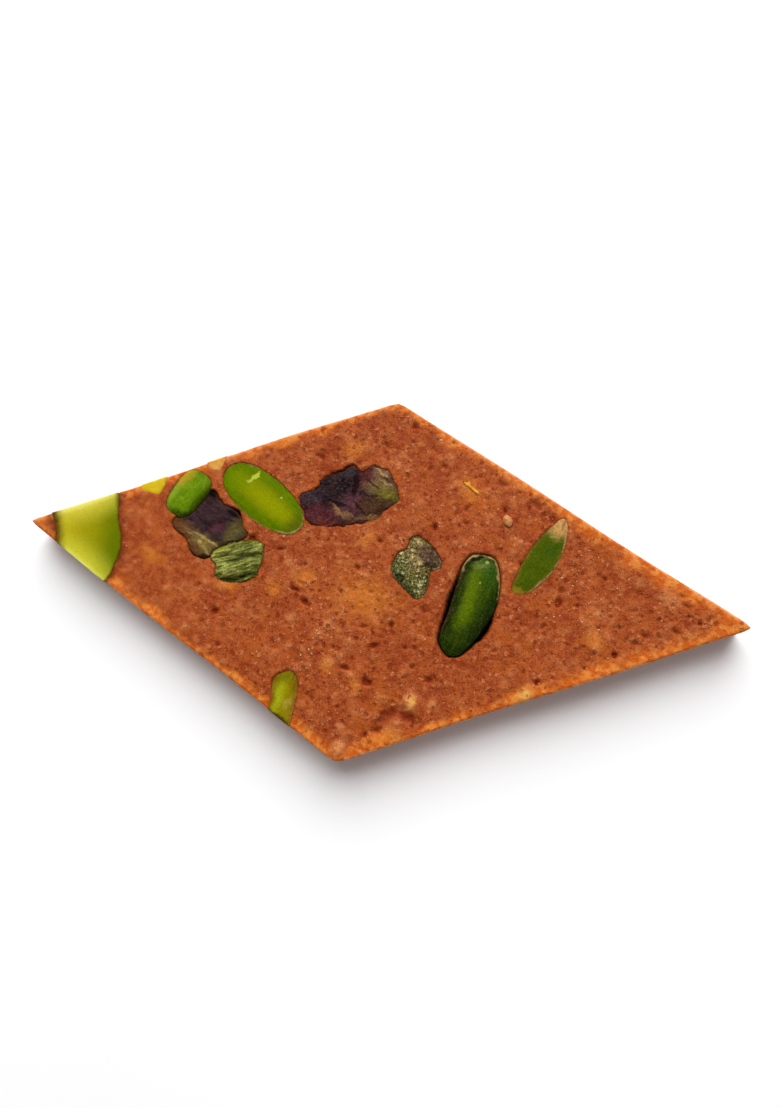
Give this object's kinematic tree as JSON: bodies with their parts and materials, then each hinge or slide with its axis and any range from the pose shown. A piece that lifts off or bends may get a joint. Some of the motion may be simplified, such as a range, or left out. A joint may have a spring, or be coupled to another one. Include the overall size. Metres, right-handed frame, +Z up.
{
  "type": "katli sweet",
  "caption": "Thin diamond slab of reddish-brown ground-nut paste, with whole, broken and sliced pistachio kernels set flush in its top.",
  "frame": {"origin": "on the flat underside, below the middle of the diamond", "axes": "+X along the long diagonal towards the tip without the large sliced kernel, +Y along the short diagonal, +Z up out of the studded face"},
  "size_m": [0.0885, 0.0446, 0.0058],
  "materials": {
    "nut_paste": "moist, pitted ground-nut paste, reddish brown with an orange glow at the cut edges",
    "sliced_pistachio": "smooth cut kernel, yellow green with a greener rim",
    "green_pistachio": "satin bright to deep green kernel with traces of pale skin",
    "skinned_pistachio": "wrinkled purple to black skin, olive at the rim",
    "wrinkled_pistachio": "dry ridged grey-green kernel",
    "nut_bits": "pale gold strand and beige crumb of nut"
  },
  "bodies": {
    "root": {"paste_slab": "nut_paste", "pistachio_tip_cut": "sliced_pistachio", "pistachio_chip_left": "sliced_pistachio", "pistachio_stub": "green_pistachio", "pistachio_purple": "skinned_pistachio", "pistachio_ridged": "wrinkled_pistachio", "pistachio_half": "sliced_pistachio", "pistachio_dark": "skinned_pistachio", "pistachio_speckled": "wrinkled_pistachio", "pistachio_whole": "green_pistachio", "pistachio_leaf": "green_pistachio", "pistachio_chip_near": "sliced_pistachio", "pistachio_chip_far": "sliced_pistachio"}
  },
  "joints": []
}
